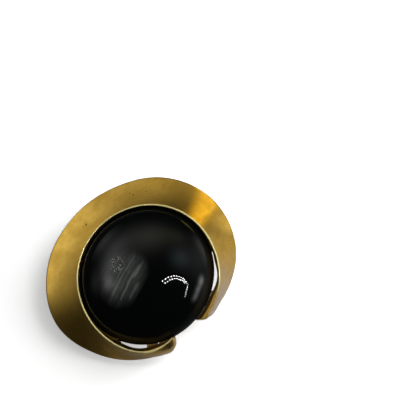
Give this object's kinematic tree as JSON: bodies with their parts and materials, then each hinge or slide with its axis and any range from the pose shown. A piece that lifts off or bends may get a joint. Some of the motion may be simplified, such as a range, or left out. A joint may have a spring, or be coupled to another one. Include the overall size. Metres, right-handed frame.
{
  "type": "clip-on earring",
  "caption": "Clip-on earring: glossy domed black cabochon in an open brass collar that is a broad brim on one side and twists into upright flared ends at its mouth",
  "frame": {"origin": "On the stone's axis, at the underside of the clip's pad, on which the earring lies face up", "axes": "+Z is the stone's axis, up out of the dome; +Y points to the collar's wide side and -Y to its mouth; +X is to the right when the mouth is near"},
  "size_m": [0.0347, 0.0308, 0.0135],
  "materials": {
    "collar_brass": "satin, lightly tarnished",
    "black_stone": "polished, high gloss",
    "plate_brass": "satin, dulled",
    "clip_brass": "satin"
  },
  "bodies": {
    "root": {"collar": "collar_brass", "stone": "black_stone", "back_plate": "plate_brass", "ear_clip": "clip_brass"}
  },
  "joints": []
}
